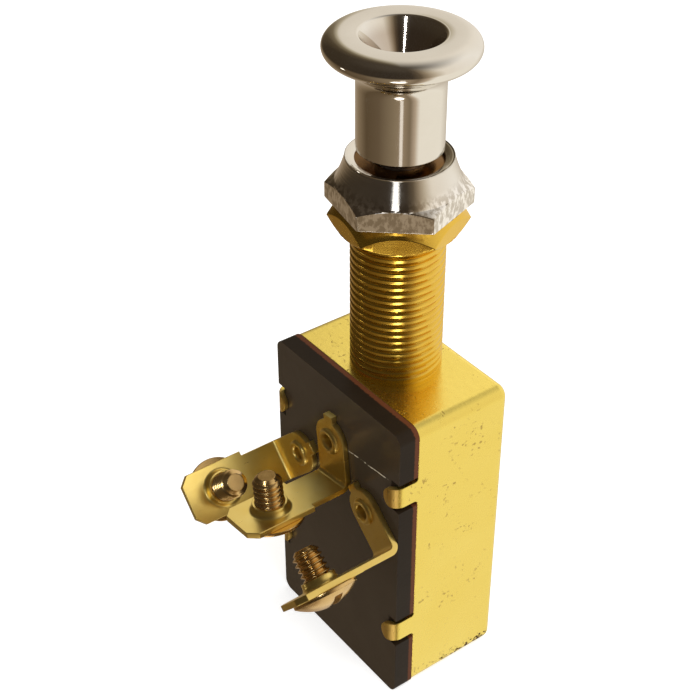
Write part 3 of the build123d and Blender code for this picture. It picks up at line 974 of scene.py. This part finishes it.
def light_studio():
    """White tent that is open towards the photographer, where bright metal shows a dark room.
    The camera sees plain white, and dull surfaces get an even light."""
    world = bpy.data.worlds.new("studio")
    world.use_nodes = True
    bpy.context.scene.world = world
    room = Recipe(world.node_tree)
    direction = room.node("ShaderNodeTexCoord").out("Generated")
    parts = room.node("ShaderNodeSeparateXYZ", None, {"Vector": direction})
    x, y, z = parts, parts.out("Y"), parts.out("Z")
    turn = radians(view_azimuth)
    rightward = x * cos(turn) + y * sin(turn)
    towards = x * sin(turn) - y * cos(turn)
    azimuth = room.maths("ARCTAN2", rightward, towards) * (180 / pi)
    elevation = room.maths("ARCSINE", z) * (180 / pi)
    upper = ring(
        room,
        azimuth,
        (
            (-180, (0.76, 0.70, 0.61)),
            (-176, (0.50, 0.44, 0.33)),
            (-169, (0.20, 0.16, 0.10)),
            (-158, (0.085, 0.062, 0.036)),
            (-140, (0.045, 0.032, 0.019)),
            (-20, (0.038, 0.028, 0.019)),
            (12, (0.046, 0.034, 0.023)),
            (24, (0.12, 0.088, 0.055)),
            (34, (0.32, 0.25, 0.17)),
            (45, (0.56, 0.48, 0.37)),
            (60, (0.86, 0.79, 0.69)),
            (120, (0.96, 0.92, 0.86)),
            (160, (0.90, 0.84, 0.75)),
            (180, (0.76, 0.70, 0.61)),
        ),
    )
    lower = ring(
        room,
        azimuth,
        (
            (-180, (0.46, 0.376, 0.285)),
            (-140, (0.27, 0.20, 0.125)),
            (-100, (0.11, 0.075, 0.041)),
            (-60, (0.14, 0.098, 0.058)),
            (-20, (0.25, 0.19, 0.12)),
            (5, (0.33, 0.25, 0.165)),
            (22, (0.22, 0.165, 0.105)),
            (36, (0.52, 0.416, 0.31)),
            (48, (0.925, 0.876, 0.78)),
            (120, (0.925, 0.876, 0.78)),
            (180, (0.46, 0.376, 0.285)),
        ),
    )
    sides = room.blend(room.step(elevation, *horizon_fade), lower, upper)
    tent = room.blend(room.step(elevation, *zenith_fade), sides, (0.07, 0.055, 0.04))
    low_lamp = lamp_disc(room, direction, (-7, -50), 10, 7)
    side_lamp = lamp_disc(room, direction, (-92, -22), 4, 2)
    lit = room.blend(low_lamp + side_lamp, tent, (3.2, 3.0, 2.7))
    rays = room.node("ShaderNodeLightPath")
    even = room.blend(rays.out("Is Glossy Ray"), (0.85, 0.84, 0.82), lit)
    colour = room.blend(rays.out("Is Camera Ray"), even, (1, 1, 1))
    background = room.node("ShaderNodeBackground", None, {"Color": colour, "Strength": 1.0})
    room.node("ShaderNodeOutputWorld", None, {"Surface": background})


def lay_floor():
    """Pale floor, lit to white for the camera, that keeps the switch's shadow and isn't mirrored."""
    mesh = bpy.data.meshes.new("floor")
    reach = floor_reach
    corners = [(-reach, -reach, 0), (reach, -reach, 0), (reach, reach, 0), (-reach, reach, 0)]
    mesh.from_pydata(corners, [], [(0, 1, 2, 3)])
    floor = bpy.data.objects.new("floor", mesh)
    bpy.context.scene.collection.objects.link(floor)
    floor.visible_glossy = False
    material = bpy.data.materials.new("floor_paper")
    material.use_nodes = True
    paper = Recipe(material.node_tree)
    camera = paper.node("ShaderNodeLightPath").out("Is Camera Ray")
    matt = paper.node("ShaderNodeBsdfDiffuse", None, {"Color": opaque(floor_grey)})
    glow = paper.node("ShaderNodeEmission", None, {"Strength": floor_glow * camera})
    both = paper.node("ShaderNodeAddShader", None, {0: matt, 1: glow})
    paper.node("ShaderNodeOutputMaterial", None, {"Surface": both})
    mesh.materials.append(material)


def hang_lamp(name, place, target, width, height, power):
    """Lamp that faces a target from its place, a panel of the given width and height."""
    lamp = bpy.data.lights.new(name, "AREA")
    lamp.shape = "RECTANGLE"
    lamp.size = width
    lamp.size_y = height
    lamp.energy = power
    seat = bpy.data.objects.new(name, lamp)
    seat.matrix_world = (
        Matrix.Translation(place) @ (target - place).to_track_quat("-Z", "Y").to_matrix().to_4x4()
    )
    bpy.context.scene.collection.objects.link(seat)
    return seat


def panel_for(pieces, clear, height, way, size, radiance):
    """Panel that only the given pieces mirror, and that nothing shades but a piece clear of it.
    It hangs off in the given way (azimuth, elevation), aimed at the height on the axis. Its size
    is (width, length), and its power is radiance x pi x area."""
    target = Vector((0, 0, height))
    place = target + Vector(direction_to(*way)) * panel_distance
    width, length = size
    power = radiance * pi * width * length
    name = f"{pieces[0].name}_from_{way[0]}"
    panel = hang_lamp(name, place, target, width, length, power)
    lit_only = bpy.data.collections.new(name)
    for piece in pieces:
        lit_only.objects.link(piece)
    panel.light_linking.receiver_collection = lit_only
    shaded_by = bpy.data.collections.new(f"{name}_shade")
    shaded_by.objects.link(clear)
    panel.light_linking.blocker_collection = shaded_by


light_studio()
lay_floor()
soft_lamp = hang_lamp(
    "soft_lamp", Vector(soft_lamp_place), Vector((0, 0, case_high.z)),
    soft_lamp_size, soft_lamp_size, soft_lamp_power,
)
soft_lamp.visible_glossy = False
# Streaks on the recess's wall, the shank, the collar and the thread
panel_for([recess], board, knob_high.z, (-12, 43), (0.012, 0.07), 40)
panel_for([knob], board, shank_height, (0, -31), (0.035, 0.08), 0.6)
panel_for([face_nut], board, face_nut_high.z, (-8, 12), (0.055, 0.18), 1.6)
panel_for([stem], board, thread_height, (1, -33), (0.05, 0.14), 7)
# Sheen on the case's top and on the pads, then the left terminal's bright foot, and the screws
panel_for([shell], knob, case_high.z, (-178, 34), (0.3, 0.3), 0.22)
panel_for(strips[1:] + eyelets, knob, pads_height, (-175, 28), (0.3, 0.3), 0.5)
panel_for(strips[:1], knob, pads_height, (75, 40), (0.2, 0.25), 0.85)
panel_for(strips[:1] + eyelets[:1], knob, pads_height, (-33, 20), (0.06, 0.2), 3)
panel_for(screws, knob, pads_height, (-35, 48), (0.05, 0.05), 14)
bpy.context.scene.view_settings.view_transform = "Standard"
